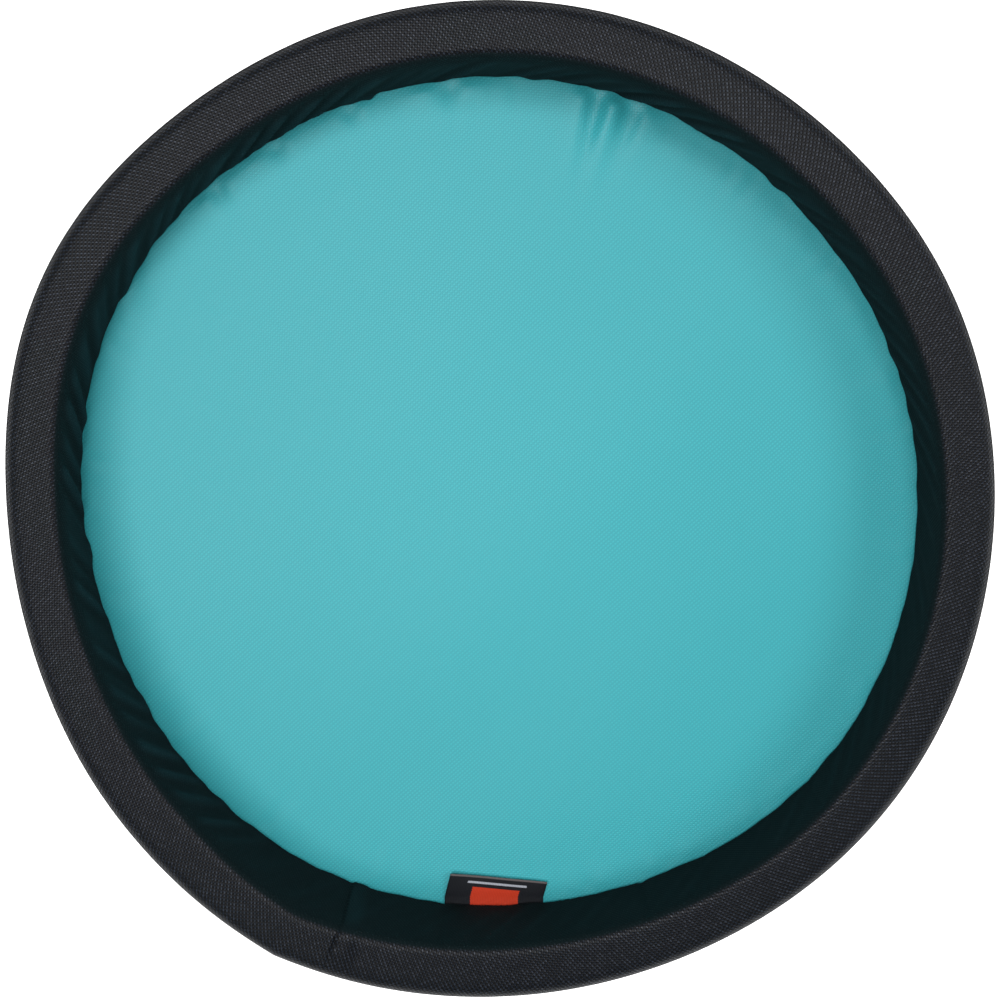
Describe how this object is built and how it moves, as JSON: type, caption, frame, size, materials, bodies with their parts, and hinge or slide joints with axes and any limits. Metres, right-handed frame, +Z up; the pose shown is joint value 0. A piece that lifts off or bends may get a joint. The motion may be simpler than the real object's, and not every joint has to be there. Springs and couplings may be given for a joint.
{
  "type": "flying ring",
  "caption": "Soft fabric flying disc: a flat woven panel inside a raised foam rim in a cloth sleeve, with a bound edge and a folded label.",
  "frame": {"origin": "centre of the disc, on the surface that it lies on with its hollow side up", "axes": "+Z up out of the hollow side, -Y from the centre to the label"},
  "size_m": [0.24, 0.24, 0.027],
  "materials": {
    "panel_cloth": "satin",
    "sleeve_cloth": "matte",
    "binding_tape": "matte",
    "thread": "satin",
    "foam": "matte",
    "adhesive_tape": "satin",
    "label_ribbon": "satin"
  },
  "bodies": {
    "disc": {"top_panel": "panel_cloth", "rim_sleeve": "sleeve_cloth", "foam_core": "foam", "core_joint_tape": "adhesive_tape", "sleeve_join_thread": "thread", "edge_binding": "binding_tape", "panel_seam_thread": "thread", "binding_thread": "thread", "label_tail": "label_ribbon"},
    "label": {"label_flap": "label_ribbon"}
  },
  "joints": [
    {"name": "label_fold", "type": "hinge", "parent": "disc", "child": "label", "pos_m": [0, -0.1041, 0.00185], "axis": [1, 0, 0], "range_deg": [-9, 75], "stiffness_Nm_per_rad": 0.0001}
  ]
}
